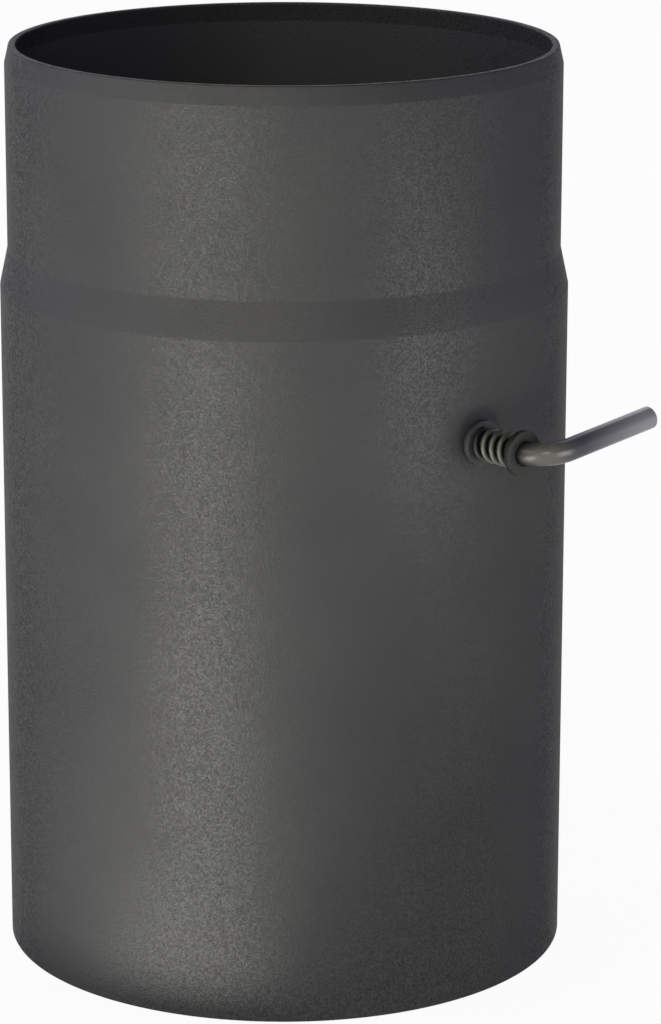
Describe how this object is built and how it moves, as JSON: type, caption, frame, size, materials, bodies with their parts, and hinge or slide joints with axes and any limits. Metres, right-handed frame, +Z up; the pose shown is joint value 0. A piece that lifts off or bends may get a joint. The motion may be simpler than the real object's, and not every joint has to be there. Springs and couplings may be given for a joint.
{
  "type": "stove pipe damper",
  "caption": "Length of steel flue pipe with a swaged spigot and a throttle plate turned by a bent rod handle under a spring.",
  "frame": {"origin": "pipe axis at the lower rim (the socket end)", "axes": "+Z up the pipe's axis to the spigot, +X along the damper's spindle to the handle side, +Y the way the handle points at rest"},
  "size_m": [0.1871, 0.154, 0.25],
  "materials": {
    "stove_paint": "satin heat-resistant paint, dark grey with a fine metallic grain",
    "rod_steel": "dark, blued steel rod",
    "plate_steel": "the pipe's dark heat-resistant paint",
    "spring_steel": "hard-drawn spring wire, dark",
    "washer_steel": "darkened steel",
    "fastener_steel": "plain steel"
  },
  "bodies": {
    "pipe": {"flue_pipe": "stove_paint", "wall_washer": "washer_steel", "far_washer": "washer_steel"},
    "damper": {"damper_rod": "rod_steel", "damper_plate": "plate_steel", "compression_spring": "spring_steel", "handle_washer": "washer_steel", "split_pin": "fastener_steel", "near_plate_screw": "fastener_steel", "near_plate_nut": "fastener_steel", "far_plate_screw": "fastener_steel", "far_plate_nut": "fastener_steel"}
  },
  "joints": [
    {"name": "damper_turn", "type": "hinge", "parent": "pipe", "child": "damper", "pos_m": [0, 0, 0.154], "axis": [1, 0, 0], "continuous": true}
  ]
}
